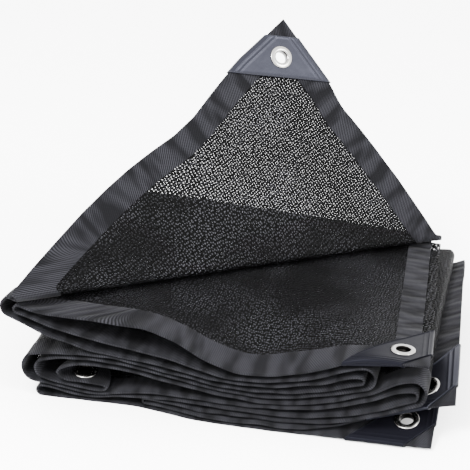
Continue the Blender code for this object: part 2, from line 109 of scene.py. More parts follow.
# %% Heights of the layers, in millimetres, from the front and from the back
PLACES = (-172, -150, -95, -35, 45, 110, 165, 215, 255)
FRONT = {
    "B1": (98, 92, 90, 85.5, 51.5, 59, 79, 80, 80),
    "B2": (90, 82, 69, 61, 43.5, 51, 70, 71, 71),
    "T2": (82, 71, 57, 50.5, 38.5, 45, 60, 61, 61),
    "T3": (44, 46.5, 52, 45, 33.5, 37, 53, 54, 54),
    "B3": (38, 40, 47.5, 40.5, 28.5, 31.5, 47.5, 48, 48),
    "B4": (21.5, 21.5, 14.4, 34, 23.5, 26, 42, 64, 66),
    "T4": (16.4, 15.4, 9.4, 18.6, 18.4, 21, 36, 54.5, 56),
    "T5": (11.4, 10.8, 5.2, 14.4, 14, 15, 25.5, 46, 48),
    "B5": (9.8, 9.8, 9.8, 9.8, 9.6, 10.4, 20, 41.5, 44),
    "B6": (5.4, 5.4, 5.4, 5.4, 5.4, 6, 14, 27, 36),
    "T6": (1, 1, 1, 1, 1, 1.6, 2.8, 2.9, 2.9),
}
ORDER = tuple(FRONT)
BACK_TOP = (98, 96, 94, 91, 86, 81, 77, 74, 73)
BACK_LOW = (1, 1, 1, 1, 1, 8, 20, 30, 32)
BACK_RIGHT = {"B6": (44, 61), "B5": (49, 65), "T5": (54, 67), "T4": (59, 69), "B4": (64, 70)}
FORWARD = {"B4": 2, "T4": 4, "T5": 7, "B5": 9, "B6": 13, "T6": 14}
SIDE_BACK = 26 * MM
FOLDS = (
    dict(panels=(1, 2), side=-1, T=(-187, -160), B=(-174, -150)),
    dict(panels=(2, 3), side=1, T=(169, 168), B=(180, 180)),
    dict(panels=(3, 4), side=-1, T=(-169, -150), B=(-156, -138)),
    dict(panels=(4, 5), side=1, T=(220, 214), B=(228, 225)),
    dict(panels=(5, 6), side=-1, T=(-155, -145), B=(-46, -128), late=True),
)
FOLD_REACH = (2.1 * MM, 15 * MM)
LATE = (0.45, 0.95)
ROLL = (
    (-137, 18.4), (-115, 15), (-93, 13.4), (-85, 14.6), (-82.5, 17), (-86, 19.4), (-95, 20.3),
    (-110, 21), (-126, 21.8), (-133, 28.5), (-120, 37.4), (-100, 40.6), (-78, 40.8), (-55, 38),
)
ROLL_END = -50 * MM
ROLL_MIDDLE, ROLL_REACH, ROLL_SPREAD = 0.48, 0.15, 240 * MM
ROLL_STEPS = [math.dist(a, b) for a, b in zip(ROLL[:1] + ROLL, ROLL)]
ROLL_SHARES = np.cumsum([ROLL_STEPS[1], *ROLL_STEPS[1:]]) / (sum(ROLL_STEPS) + ROLL_STEPS[1])
print("layers", len(ORDER) + 1, "folds", len(FOLDS))

# %% [markdown]
# Towards the back the layers settle to even heights. At the left they have settled at half
# the depth. At the right they rise in a slope, which eases off, and settle sooner.

# %% Height of a layer anywhere
SETTLE_LEFT, SETTLE_RIGHT = 0.5, 0.36
SLOPE, EASE, EASE_FROM = 1.35, 1.4, 0.5
SETTLE_BETWEEN = (50 * MM, 150 * MM)


def smooth(a, b, value):
    s = min(max((value - a) / (b - a), 0), 1)
    return s * s * (3 - 2 * s)


def blend(pair, share):
    return pair[0] + (pair[1] - pair[0]) * share


def settle(x, share):
    """How far a place has gone from the front's heights to the back's."""
    left = smooth(0, SETTLE_LEFT, share)
    far = min(share / SETTLE_RIGHT, 1)
    right = SLOPE * far - EASE * max(far - EASE_FROM, 0) ** 2
    return blend((left, right), smooth(*SETTLE_BETWEEN, x))


def curve(row, x):
    """Height on a smooth curve through a row of heights."""
    x = x / MM
    i = int(np.clip(np.searchsorted(PLACES, x) - 1, 0, len(PLACES) - 2))
    a, b = PLACES[i], PLACES[i + 1]
    s = (x - a) / (b - a)

    def slope(k):
        lo, hi = max(k - 1, 0), min(k + 1, len(row) - 1)
        return (row[hi] - row[lo]) / (PLACES[hi] - PLACES[lo])

    if s < 0 or s > 1:
        end = i if s < 0 else i + 1
        return (row[end] + slope(end) * (x - PLACES[end])) * MM
    m, n = slope(i) * (b - a), slope(i + 1) * (b - a)
    h = (2 * s**3 - 3 * s**2 + 1) * row[i] + (s**3 - 2 * s**2 + s) * m
    return (h + (3 * s**2 - 2 * s**3) * row[i + 1] + (s**3 - s**2) * n) * MM


def back_row(name):
    share = ORDER.index(name) / (len(ORDER) - 1)
    row = [top + (low - top) * share for top, low in zip(BACK_TOP, BACK_LOW)]
    if name in BACK_RIGHT:
        row[-2:] = BACK_RIGHT[name]
    return row


BACK = {name: back_row(name) for name in ORDER}


def height(name, x, share):
    if name == "T1":
        return height("B1", x, share) + TOP_SPACE
    return blend((curve(FRONT[name], x), curve(BACK[name], x)), settle(x, share))


def front_y(name, x):
    forward = FORWARD.get(name, 0) * MM * smooth(-50 * MM, 30 * MM, x)
    if name == "B6":
        forward -= SIDE_BACK * smooth(110 * MM, 215 * MM, x)
    return FRONT_Y - forward


def place(name, x, share, z=None):
    y = front_y(name, x) * (1 - share) + (FRONT_Y + DEPTH) * share
    return np.array((x, y, height(name, x, share) if z is None else z))


print("top layer's height at the front", [round(height("B1", x * MM, 0) / MM) for x in PLACES])

# %% [markdown]
# Each panel runs from one side fold to the next, and each fold is a half round. In the
# fourth panel the under sheet makes a small roll at the front, with an eyelet on it.

# %% Panels, folds and the roll


def fold_start(fold, sheet, share):
    """Where a sheet leaves its panel for a fold, and how far out the fold goes."""
    if "late" in fold:
        tip = blend(fold[sheet], smooth(*LATE, share)) * MM
    else:
        tip = blend(fold[sheet], share) * MM
    upper, lower = (sheet + str(p) for p in fold["panels"])
    rise = height(upper, tip, share) - height(lower, tip, share)
    reach = min(max(rise / 2, FOLD_REACH[0]), FOLD_REACH[1])
    return tip - fold["side"] * reach, reach


def ends(panel, sheet, share):
    """The X at which a panel starts and the X at which it ends."""
    if panel == 1:
        start = blend(TOP_RIGHT_X, share)
    else:
        start = fold_start(FOLDS[panel - 2], sheet, share)[0]
    if panel == 6:
        stop = blend(LOWER_END_X if sheet == "T" else UPPER_END_X, share)
    else:
        stop = fold_start(FOLDS[panel - 1], sheet, share)[0]
    return start, stop


def on_panel(panel, sheet, share, s):
    start, stop = ends(panel, sheet, share)
    return place(sheet + str(panel), start + (stop - start) * s, share)


def on_last(sheet, share, s):
    start, stop = ends(6, sheet, share)
    return place(sheet + "6", start + (stop - LAST_ALONG - start) * s, share)


def on_fold(number, sheet, share, s):
    fold = FOLDS[number]
    x0, reach = fold_start(fold, sheet, share)
    upper, lower = (sheet + str(p) for p in fold["panels"])
    high, low = height(upper, x0, share), height(lower, x0, share)
    x = x0 + fold["side"] * reach * math.sin(math.pi * s)
    z = (high + low) / 2 + (high - low) / 2 * math.cos(math.pi * s)
    first, second = (place(name, x, share, z) for name in (upper, lower))
    return first + (second - first) * s


def on_roll(sheet, share, i):
    start, _ = ends(4, sheet, share)
    plain_x = start + (ROLL_END - start) * ROLL_SHARES[i]
    plain = place(sheet + "4", plain_x, share)
    if sheet == "T":
        return plain
    x, z = (v * MM for v in ROLL[i])
    back_z = curve(BACK["B4"], plain_x)
    settled = settle(x, share)
    opened = min(settled * 2, 1)
    apart = ROLL_SHARES[i] - ROLL_MIDDLE
    spread = ROLL_SPREAD * apart * math.exp(-((apart / ROLL_REACH) ** 2))
    spread *= opened**2 * (1 - opened)
    return place("B4", blend((x, plain_x), opened), share, blend((z, back_z), settled) + spread)


# %% [markdown]
# ## The flap
# The corner of the top sheet is thrown back over a slanting fold line. Past the line the
# sheet turns up round a small radius and then leans back. Its bound edges aren't straight:
# they bow in and out by up to 25 mm, which two short tables give.

# %% The top sheet and its flap


def in_top_panel(sheet, along, deep):
    share = deep / DEPTH
    start, stop = ends(1, sheet, share)
    drawn = (start - stop) / TOP_LONG - 1
    return place(sheet + "1", start - along * (1 + drawn * along / TOP_LONG), share)


LINE_LEFT = in_top_panel("T", FLAP_ALONG, 0)
LINE_RIGHT = in_top_panel("T", 0, FLAP_DEEP)
LINE_FLAT = math.hypot(FLAP_ALONG, FLAP_DEEP)
LINE = (LINE_RIGHT - LINE_LEFT) / np.linalg.norm(LINE_RIGHT - LINE_LEFT)
LINE_SCALE = np.linalg.norm(LINE_RIGHT - LINE_LEFT) / LINE_FLAT
OUTWARD = np.cross(LINE, (0, 0, 1))
OUTWARD /= np.linalg.norm(OUTWARD)
UPWARD = np.cross(OUTWARD, LINE)


def past_line(along, deep):
    return (FLAP_ALONG * FLAP_DEEP - along * FLAP_DEEP - deep * FLAP_ALONG) / LINE_FLAT


def line_point(along, deep):
    far = ((FLAP_ALONG - along) * FLAP_ALONG + deep * FLAP_DEEP) / LINE_FLAT * LINE_SCALE
    return LINE_LEFT + LINE * far


def bow(along, deep):
    long_edge = np.interp(along / MM, *LONG_BOW) * (1 - smooth(0, BOW_FADE, deep))
    short_edge = np.interp(deep / MM, *SHORT_BOW) * (1 - smooth(0, BOW_FADE, along))
    return (short_edge - long_edge) * MM


def on_top(along, deep):
    """The top sheet lies on the pile behind the fold line and stands up in front of it."""
    out = past_line(along, deep)
    if out <= 0:
        foot = FLAP_ALONG * (1 - deep / FLAP_DEEP)
        lift = line_point(foot, deep) - in_top_panel("T", foot, deep)
        return in_top_panel("T", along, deep) + lift * (1 - smooth(0, FOOT, -out))
    out *= FLAP_EASE
    arc = FLAP_RADIUS * FLAP_FOLD
    turn = min(out / FLAP_RADIUS, FLAP_FOLD)
    rest = max(out - arc, 0)
    go = FLAP_RADIUS * math.sin(turn) + rest * math.cos(turn)
    up = FLAP_RADIUS * (1 - math.cos(turn)) + rest * math.sin(turn)
    point = line_point(along, deep) + OUTWARD * go + UPWARD * up + LINE * FLAP_SHEAR * rest
    return point + LINE * bow(along, deep) * smooth(0, BOW_START, out)


def near_end(panel, sheet, along, deep):
    if panel == 1 and sheet == "T":
        return on_top(along, deep)
    if panel == 1:
        return in_top_panel(sheet, along, deep)
    share = deep / DEPTH
    return place(sheet + "6", ends(6, sheet, share)[1] - along, share)


print("flap's tip", [round(float(v), 3) for v in on_top(0, 0) - PILE_SHIFT])

# %% [markdown]
# ## From functions to sheets
# A row of places runs across the cloth at one distance along it, and the rows follow the
# cloth through the pile. Rows stand close together at the folds. Where two of them are
# further apart than a step, smooth rows are filled in between.

# %% Rows along the cloth
NET_STEP = 9 * MM
TAPE_STEP = 5 * MM
LAST_ALONG = 105 * MM
FOLD_STEPS = 10
EDGE_STEP = 9 * MM
LINE_STEPS = [v * MM for v in (30, 22, 16, 13, 11, 9.5, 8, 6.5, 5, 3.5, 2, 0, -3)]
AFTER_FLAP = ((366 * MM, 34.5 * MM), (380 * MM, 22.2 * MM), (393 * MM, 10.7 * MM))
PANEL_SHARES = (0.12, 0.28, 0.44, 0.6, 0.76, 0.88)


def slanted(step, deep):
    """Distance along of a line that runs beside the flap's fold line across the tape."""
    deep = min(deep, TAPE_WIDE + SEAM_GAP)
    return (FLAP_ALONG * (FLAP_DEEP - deep) - step * LINE_FLAT) / FLAP_DEEP


def leaning(along, slant, deep):
    return along + slant * max(1 - deep / (TAPE_WIDE + SEAM_GAP), 0)


def rows_along(start):
    """Every row as a function of sheet and depth, from one short edge to the other."""
    early = np.arange(start, 285 * MM, EDGE_STEP)
    out = [lambda sheet, deep, a=a: near_end(1, sheet, a, deep) for a in early]
    for step in LINE_STEPS:
        out.append(lambda sheet, deep, b=step: near_end(1, sheet, slanted(b, deep), deep))
    for a, slant in AFTER_FLAP:
        out.append(lambda sheet, deep, a=a, m=slant: near_end(1, sheet, leaning(a, m, deep), deep))
    for number in range(len(FOLDS)):
        for k in range(FOLD_STEPS + 1):
            s = (k + 0.5) / (FOLD_STEPS + 1)
            out.append(lambda sheet, deep, n=number, s=s: on_fold(n, sheet, deep / DEPTH, s))
        panel = number + 2
        if panel == 6:
            continue
        if panel == 4:
            for i in range(len(ROLL)):
                out.append(lambda sheet, deep, i=i: on_roll(sheet, deep / DEPTH, i))
        for s in PANEL_SHARES if panel != 4 else PANEL_SHARES[2:]:
            out.append(lambda sheet, deep, p=panel, s=s: on_panel(p, sheet, deep / DEPTH, s))
    for s in (0.15, 0.35, 0.55, 0.8):
        out.append(lambda sheet, deep, s=s: on_last(sheet, deep / DEPTH, s))
    late = np.arange(LAST_ALONG, start, -EDGE_STEP)
    out += [lambda sheet, deep, a=a: near_end(6, sheet, a, deep) for a in [*late, start]]
    return early, out


early, rows = rows_along(22 * MM)
print("rows before filling", len(rows))

# %% Fill long gaps between rows, and measure along the cloth


def fill(grid, step):
    """Adds rows on a smooth curve wherever two rows are further apart than a step."""
    grid = np.array(grid)
    out = [grid[0]]
    for i in range(len(grid) - 1):
        a, b = grid[i], grid[i + 1]
        gap = np.linalg.norm(b - a, axis=1).mean()
        count = max(int(math.ceil(gap / step)), 1)
        before = grid[i - 1] if i else a
        after = grid[i + 2] if i + 2 < len(grid) else b
        lead = np.linalg.norm(a - before, axis=1).mean() or gap
        tail = np.linalg.norm(after - b, axis=1).mean() or gap
        m = ((a - before) / lead * gap + (b - a)) / 2
        n = ((after - b) / tail * gap + (b - a)) / 2
        for k in range(1, count + 1):
            s = k / count
            point = (2 * s**3 - 3 * s**2 + 1) * a + (s**3 - 2 * s**2 + s) * m
            out.append(point + (3 * s**2 - 2 * s**3) * b + (s**3 - s**2) * n)
    return np.array(out)


def lengths(grid, axis):
    """How far along its own surface each point of a grid lies, on average, by row or column."""
    steps = np.linalg.norm(np.diff(grid, axis=axis), axis=2).mean(1 - axis)
    return np.concatenate(([0], np.cumsum(steps)))


def normals_of(grid):
    across = np.cross(np.gradient(grid, axis=0), np.gradient(grid, axis=1))
    return across / np.maximum(np.linalg.norm(across, axis=2), 1e-9)[:, :, None]


def soften(grid, size, much, seed):
    """Small creases and dents, as smooth noise along the surface's normals."""
    normals = normals_of(grid)
    for i in range(grid.shape[0]):
        for j in range(grid.shape[1]):
            spot = Vector(grid[i, j] / size) + Vector((seed, 0, 0))
            grid[i, j] += normals[i, j] * noise.noise(spot) * much
    return grid


# %% [markdown]
# ## A grid becomes a mesh
# Blender's own grid operator makes the faces, and each of its corners is then carried to its
# place on the cloth. The flat cloth's own measures go into the UV map, in metres, so that
# knitting and weave keep their real size and turn with every fold. Solidify gives the
# thickness.

# %% One function for every sheet


def add_piece(name, bm, mat, nodes=(), smooth_angle=60):
    """Makes a finished object of a bmesh, hangs it on the root body and hides the CAD parts it
    replaces.
    """
    mesh = bpy.data.meshes.new(name)
    bm.to_mesh(mesh)
    bm.free()
    mesh.shade_smooth()
    mesh.set_sharp_from_angle(angle=math.radians(smooth_angle))
    mesh.materials.append(mat)
    piece = bpy.data.objects.new(name, mesh)
    bpy.context.scene.collection.objects.link(piece)
    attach(piece, "root")
    if nodes:
        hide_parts(*nodes)
    return piece


def grid_mesh(grid, u, v):
    """A bmesh grid whose corners lie at the grid's points, with the cloth's measures as UV."""
    count_u, count_v = grid.shape[:2]
    bm = bmesh.new()
    uv = bm.loops.layers.uv.new("cloth")
    bmesh.ops.create_grid(bm, x_segments=count_v - 1, y_segments=count_u - 1, size=1)
    index = {}
    for vert in bm.verts:
        i = round((vert.co.y + 1) / 2 * (count_u - 1))
        j = round((vert.co.x + 1) / 2 * (count_v - 1))
        index[vert] = (i, j)
        vert.co = grid[i, j]
    for face in bm.faces:
        for loop in face.loops:
            i, j = index[loop.vert]
            loop[uv].uv = (u[i, j], v[i, j])
    return bm


def thickness(piece, thick, round_edge=0):
    """A real thickness, half on each side of the sheet, and a soft edge if asked for."""
    solid = piece.modifiers.new("thickness", "SOLIDIFY")
    solid.thickness = thick
    solid.offset = 0
    if round_edge:
        edge = piece.modifiers.new("edge", "BEVEL")
        edge.width = round_edge
        edge.segments = 3
        edge.limit_method = "ANGLE"
        edge.angle_limit = math.radians(60)
    return piece


# %% [markdown]
# ## Nodes and colours
# Colours are written as sRGB hex, as a paint program shows them, and turned to the linear
# values that Blender mixes light in. One helper adds any node with its settings and links.

# %% Helpers for materials


def hex_colour(text):
    values = [int(text[i:i + 2], 16) / 255 for i in (1, 3, 5)]
    linear = [v / 12.92 if v <= 0.04045 else ((v + 0.055) / 1.055) ** 2.4 for v in values]
    return (*linear, 1)


def new_material(name):
    mat = bpy.data.materials.new(name)
    mat.use_nodes = True
    return mat, mat.node_tree, mat.node_tree.nodes["Principled BSDF"]


def add_node(tree, kind, settings=(), links=()):
    """Adds a node, sets its properties and inputs, and links its inputs."""
    node = tree.nodes.new(kind)
    for key, value in dict(settings).items():
        if isinstance(key, str) and hasattr(node, key):
            setattr(node, key, value)
        else:
            node.inputs[key].default_value = value
    for key, socket in dict(links).items():
        tree.links.new(socket, node.inputs[key])
    return node


def ramp(tree, source, stops):
    """A colour ramp with its stops as (place, value) in grey."""
    node = add_node(tree, "ShaderNodeValToRGB", links={"Fac": source})
    elements = node.color_ramp.elements
    while len(elements) < len(stops):
        elements.new(0.5)
    for element, (spot, value) in zip(elements, stops):
        element.position = spot
        element.color = (value, value, value, 1)
    return node.outputs["Color"]


# %% [markdown]
# ## Knitted shade net
# Shade net is knitted on a warp knitting machine from flat black polyethylene tapes about a
# millimetre wide. Chains of loops run along the cloth 2.8 mm apart, and tapes zigzag between
# them and leave small holes. Light comes through the holes where there is something bright
# behind, and the tapes themselves are slippery and catch the light. A cell pattern with a
# little disorder gives the holes and the tapes between them. A second one paints highlights
# on the loops into the colour, as lighter specks, and waves give the knitting its relief.

# %% Material: knitted polyethylene net
KNIT_PITCH = 2.8
# how much light a hole lets through, since fine fibres cross it
HOLE_CLEAR = 0.6
# colour of the painted highlights: lighter specks on the knit's loops
KNIT_HIGHLIGHT = "#29292c"


def knitted_net(name, pitch, colour, open_share):
    mat, tree, shader = new_material(name)
    cloth = add_node(tree, "ShaderNodeUVMap", {"uv_map": "cloth"}).outputs["UV"]
    cells = add_node(tree, "ShaderNodeMapping", {"Scale": (1000 / pitch, 1000 / pitch, 1)},
                     {"Vector": cloth}).outputs["Vector"]
    drift = add_node(tree, "ShaderNodeTexNoise", {"noise_dimensions": "2D", "Scale": 0.6},
                     {"Vector": cells}).outputs["Color"]
    moved = add_node(tree, "ShaderNodeVectorMath", {"operation": "MULTIPLY_ADD",
                     1: (0.7, 0.7, 0)}, {0: drift, 2: cells}).outputs["Vector"]
    lean = add_node(tree, "ShaderNodeMapping", {"Rotation": (0, 0, math.radians(8))},
                    {"Vector": moved}).outputs["Vector"]
    hole = add_node(tree, "ShaderNodeTexVoronoi", {"voronoi_dimensions": "2D", "Scale": 1,
                    "Randomness": 0.38}, {"Vector": lean}).outputs["Distance"]
    loops = add_node(tree, "ShaderNodeTexWave", {"bands_direction": "DIAGONAL", "Scale": 0.45,
                     "Distortion": 1.5, "Detail": 1}, {"Vector": moved}).outputs["Fac"]
    strands = add_node(tree, "ShaderNodeTexWave", {"bands_direction": "X", "Scale": 0.314,
                       "Distortion": 2.5, "Detail": 1}, {"Vector": moved}).outputs["Fac"]
    yarn = ramp(tree, hole, ((0.12, 0), (0.5, 1)))
    crossed = add_node(tree, "ShaderNodeMath", {"operation": "MULTIPLY"},
                       {0: loops, 1: strands}).outputs[0]
    height = add_node(tree, "ShaderNodeMath", {"operation": "MULTIPLY_ADD", 1: 0.6},
                      {0: crossed, 2: yarn}).outputs[0]
    bump = add_node(tree, "ShaderNodeBump", {"Strength": 1, "Distance": 0.5 * MM},
                    {"Height": height}).outputs["Normal"]
    # painted highlights: lighter specks on the loops, stronger in some patches than in others, mixed
    # into the colour
    highlight_patches = add_node(tree, "ShaderNodeTexNoise", {"noise_dimensions": "2D", "Scale": 14,
                    "Detail": 2}, {"Vector": cloth}).outputs["Fac"]
    dark, light = hex_colour(colour), hex_colour(KNIT_HIGHLIGHT)
    beside = add_node(tree, "ShaderNodeMapping", {"Location": (0.5, 0.5, 0), "Scale": (1.1, 0.8, 1)},
                      {"Vector": lean}).outputs["Vector"]
    loop = add_node(tree, "ShaderNodeTexVoronoi", {"voronoi_dimensions": "2D", "Scale": 1,
                    "Randomness": 0.6}, {"Vector": beside}).outputs["Distance"]
    bright = ramp(tree, loop, ((0.06, 1), (0.33, 0)))
    patchy = ramp(tree, highlight_patches, ((0.35, 0.25), (0.65, 1)))
    shade = add_node(tree, "ShaderNodeMath", {"operation": "MULTIPLY"},
                     {0: bright, 1: patchy}).outputs[0]
    tint = add_node(tree, "ShaderNodeMix", {"data_type": "RGBA", 6: dark, 7: light},
                    {0: shade})
    gap = ramp(tree, hole, ((open_share - 0.06, 1 - HOLE_CLEAR), (open_share + 0.02, 1)))
    tree.links.new(tint.outputs[2], shader.inputs["Base Color"])
    tree.links.new(bump, shader.inputs["Normal"])
    tree.links.new(gap, shader.inputs["Alpha"])
    shader.inputs["Roughness"].default_value = 0.5
    shader.inputs["Specular IOR Level"].default_value = 0.015
    return mat


net_mat = knitted_net("knitted polyethylene net", KNIT_PITCH, "#020202", 0.18)
selvedge_mat = knitted_net("knitted selvedge", 3.6, "#020202", 0.3)
print("net cell", KNIT_PITCH, "mm")

# %% [markdown]
# ## Woven binding tape
# The binding is a polyester tape woven in twill, folded over the net's edge and sewn. Twill
# shows fine slanting ribs. The real ribs are about 0.8 mm apart, and they are drawn at
# 2 mm here, because finer ones would vanish in the picture. Loose fibres give it a dull
# sheen, and the sewing draws it into soft puckers. Their light and shade are painted into
# the colour, as a lighter tone on the raised ribs of each pucker's crest.

# %% Material: woven polyester tape
RIB = 2
# colour of the painted highlights on the raised ribs and the puckers' crests
TAPE_HIGHLIGHT = "#1c1c1f"


def woven_tape(name, colour):
    mat, tree, shader = new_material(name)
    cloth = add_node(tree, "ShaderNodeUVMap", {"uv_map": "cloth"}).outputs["UV"]
    ribs = add_node(tree, "ShaderNodeMapping", {"Scale": (1000 / RIB, 1000 / RIB, 1),
                    "Rotation": (0, 0, math.radians(32))}, {"Vector": cloth}).outputs["Vector"]
    twill = add_node(tree, "ShaderNodeTexWave", {"bands_direction": "X", "Scale": 0.314,
                     "Distortion": 0.6, "Detail": 1}, {"Vector": ribs}).outputs["Fac"]
    cross = add_node(tree, "ShaderNodeTexWave", {"bands_direction": "Y", "Scale": 0.42,
                     "Distortion": 0.8, "Detail": 1}, {"Vector": ribs}).outputs["Fac"]
    weave = add_node(tree, "ShaderNodeMath", {"operation": "MULTIPLY_ADD", 1: 0.4},
                     {0: cross, 2: twill}).outputs[0]
    fine = add_node(tree, "ShaderNodeBump", {"Strength": 0.55, "Distance": 0.25 * MM},
                    {"Height": weave}).outputs["Normal"]
    pull = add_node(tree, "ShaderNodeMapping", {"Scale": (70, 22, 1)},
                    {"Vector": cloth}).outputs["Vector"]
    pucker = add_node(tree, "ShaderNodeTexNoise", {"noise_dimensions": "2D", "Scale": 1,
                      "Detail": 1}, {"Vector": pull}).outputs["Fac"]
    bump = add_node(tree, "ShaderNodeBump", {"Strength": 1, "Distance": 4 * MM},
                    {"Height": pucker, "Normal": fine}).outputs["Normal"]
    # painted light and shade: the highlight colour where ribs and pucker crests rise, the dark tape
    # colour in the troughs
    dark = hex_colour(colour)
    light = hex_colour(TAPE_HIGHLIGHT)
    rib_highlight = ramp(tree, weave, ((0.45, 0), (1, 1)))
    drawn = ramp(tree, pucker, ((0.36, 0.12), (0.62, 1)))
    shade = add_node(tree, "ShaderNodeMath", {"operation": "MULTIPLY"},
                     {0: rib_highlight, 1: drawn}).outputs[0]
    tint = add_node(tree, "ShaderNodeMix", {"data_type": "RGBA", 6: dark, 7: light},
                    {0: shade})
    tree.links.new(tint.outputs[2], shader.inputs["Base Color"])
    tree.links.new(bump, shader.inputs["Normal"])
    shader.inputs["Roughness"].default_value = 0.85
    shader.inputs["Specular IOR Level"].default_value = 0.02
    shader.inputs["Sheen Weight"].default_value = 0.02
    shader.inputs["Sheen Roughness"].default_value = 0.4
    return mat


tape_mat = woven_tape("woven polyester twill tape", "#060607")
print("twill ribs", RIB, "mm")

# %% [markdown]
# ## Plastic corner patches
# The patches are injection moulded in soft black plastic. Moulding gives a smooth surface
# with a satin gloss and a few shallow waves. Handling dulls it unevenly. White surroundings
# show strongly in plastic that is seen at a low angle, so the refractive index is set below
# the real 1.49. It is lower still in a copy for the two patches that lie flat, whose dimmer
# reflection is painted shade.

# %% Material: moulded plastic
def moulded_plastic(name, colour, ior):
    mat, tree, shader = new_material(name)
    spot = add_node(tree, "ShaderNodeTexCoord").outputs["Object"]
    waves = add_node(tree, "ShaderNodeTexNoise", {"Scale": 60, "Detail": 2},
                     {"Vector": spot}).outputs["Fac"]
    grain = add_node(tree, "ShaderNodeTexNoise", {"Scale": 900, "Detail": 1},
                     {"Vector": spot}).outputs["Fac"]
    low = add_node(tree, "ShaderNodeBump", {"Strength": 0.35, "Distance": 0.8 * MM},
                   {"Height": waves}).outputs["Normal"]
    bump = add_node(tree, "ShaderNodeBump", {"Strength": 0.1, "Distance": 0.1 * MM},
                    {"Height": grain, "Normal": low}).outputs["Normal"]
    rough = add_node(tree, "ShaderNodeMapRange", {"To Min": 0.26, "To Max": 0.4},
                     {"Value": waves}).outputs["Result"]
    tree.links.new(bump, shader.inputs["Normal"])
    tree.links.new(rough, shader.inputs["Roughness"])
    shader.inputs["Base Color"].default_value = hex_colour(colour)
    shader.inputs["IOR"].default_value = ior
    shader.inputs["Specular Tint"].default_value = hex_colour("#e2e6ff")
    return mat


patch_mat = moulded_plastic("injection moulded plastic", "#07070a", ior=1.26)
# a copy with a weaker reflection, which is painted shade on the two flat patches
shade_dimmed_patch_mat = moulded_plastic("plastic dimmed as painted shade", "#07070a", ior=1.08)

# %% [markdown]
# ## Nickel-plated eyelets
# Each eyelet is pressed from thin brass and plated with nickel, which is bright and a little
# warm. Handling adds small scratches. The inside of the barrel is painted near black, as
# shade in the bore.

# %% Material: nickel plate
def nickel_plate(name, colour):
    mat, tree, shader = new_material(name)
    spot = add_node(tree, "ShaderNodeTexCoord").outputs["Object"]
    marks = add_node(tree, "ShaderNodeTexNoise", {"Scale": 500, "Detail": 3},
                     {"Vector": spot}).outputs["Fac"]
    rough = add_node(tree, "ShaderNodeMapRange", {"To Min": 0.14, "To Max": 0.34},
                     {"Value": marks}).outputs["Result"]
    bump = add_node(tree, "ShaderNodeBump", {"Strength": 0.15, "Distance": 0.1 * MM},
                    {"Height": marks}).outputs["Normal"]
    tree.links.new(rough, shader.inputs["Roughness"])
    tree.links.new(bump, shader.inputs["Normal"])
    shader.inputs["Base Color"].default_value = hex_colour(colour)
    shader.inputs["Metallic"].default_value = 1
    return mat


metal_mat = nickel_plate("nickel plate on brass", "#7f7e7c")
# the inside of the barrel, painted near black as shade in the bore
bore_shade_mat = nickel_plate("barrel painted dark as shade", "#121110")

# %% [markdown]
# ## The net
# The net is one piece of cloth. It starts inside the tape of one short edge, follows all the
# folds, and goes round the back from the T sheet to the B sheet. Near the flap, its columns
# of points gather along the fold line, so that the crease is crisp.

# %% Build the net
NET_IN = 22 * MM
UNDER_IN = 27 * MM
CREASE = [v * MM for v in (16, 13, 11, 9.5, 8, 6.5, 5, 3.5, 2, 0, -3, -12, -30)]
FLAP_COLUMNS, BEHIND_COLUMNS, UNDER_COLUMNS, BACK_COLUMNS = 16, 10, 30, 6


def top_depths(along, first):
    """Depths across the top sheet, crowded where the sheet turns up into the flap."""
    line = [(FLAP_ALONG * FLAP_DEEP - along * FLAP_DEEP - v * LINE_FLAT) / FLAP_ALONG
            for v in CREASE]
    low, high = max(line[0], first), min(max(line[-1], first), DEPTH)
    depths = [*np.linspace(first, low, FLAP_COLUMNS, endpoint=False), *line,
              *np.linspace(high, DEPTH, BEHIND_COLUMNS + 1)[1:]]
    count = len(depths)
    return [min(max(d, first + i * MM), DEPTH - (count - 1 - i) * MM)
            for i, d in enumerate(depths)]


def round_back(top, under):
    """Points on the back fold, from the T sheet's back edge to the B sheet's."""
    middle, half = (top + under) / 2, (top - under) / 2
    bulge = np.array((0, np.linalg.norm(half), 0))
    angles = [math.pi * (k + 1) / (BACK_COLUMNS + 1) for k in range(BACK_COLUMNS)]
    return [middle + half * math.cos(a) + bulge * math.sin(a) for a in angles]


def across(row, t_depths, b_depths):
    top = [row("T", d) for d in t_depths]
    under = [row("B", d) for d in b_depths]
    return top + round_back(top[-1], under[0]) + under


under_depths = np.linspace(DEPTH, UNDER_IN, UNDER_COLUMNS)
plain_depths = np.linspace(NET_IN, DEPTH, FLAP_COLUMNS + len(CREASE) + BEHIND_COLUMNS)
tops = [*early, *(slanted(b, DEPTH) for b in LINE_STEPS), *(a for a, _ in AFTER_FLAP)]
grid = []
for k, row in enumerate(rows):
    depths = top_depths(tops[k], NET_IN) if k < len(tops) else plain_depths
    grid.append(across(row, depths, under_depths))
grid = fill(grid, NET_STEP) - PILE_SHIFT
grid = soften(grid, 45 * MM, 0.5 * MM, 3)
long_way, deep_way = lengths(grid, 0), lengths(grid, 1)
print("net", grid.shape, "flat", round(long_way[-1], 3), "x", round(deep_way[-1], 3), "m")

# %% Turn the net's points into a mesh
def own_depths(grid, first):
    """The depth of each point, measured across its own row."""
    steps = np.linalg.norm(np.diff(grid, axis=1), axis=2)
    return first + np.concatenate((np.zeros((grid.shape[0], 1)), np.cumsum(steps, axis=1)), axis=1)


u = np.repeat(long_way[:, None], grid.shape[1], axis=1)
net = add_piece("net_cloth", grid_mesh(grid, u, own_depths(grid, NET_IN)), net_mat,
                ["net"], 180)
thickness(net, 0.7 * MM)
print("net faces", len(net.data.polygons))

# %% [markdown]
# ## The binding
# Each long edge has one length of tape, which goes round every fold with the net. Each short
# edge has one, which goes round the back fold. The sewing pulls the tape into puckers, so the
# tapes get small waves that are stronger at the edge than at the seam.

# %% Puckers
PUCKER = 1.4 * MM
END_PUCKER = 0.7 * MM


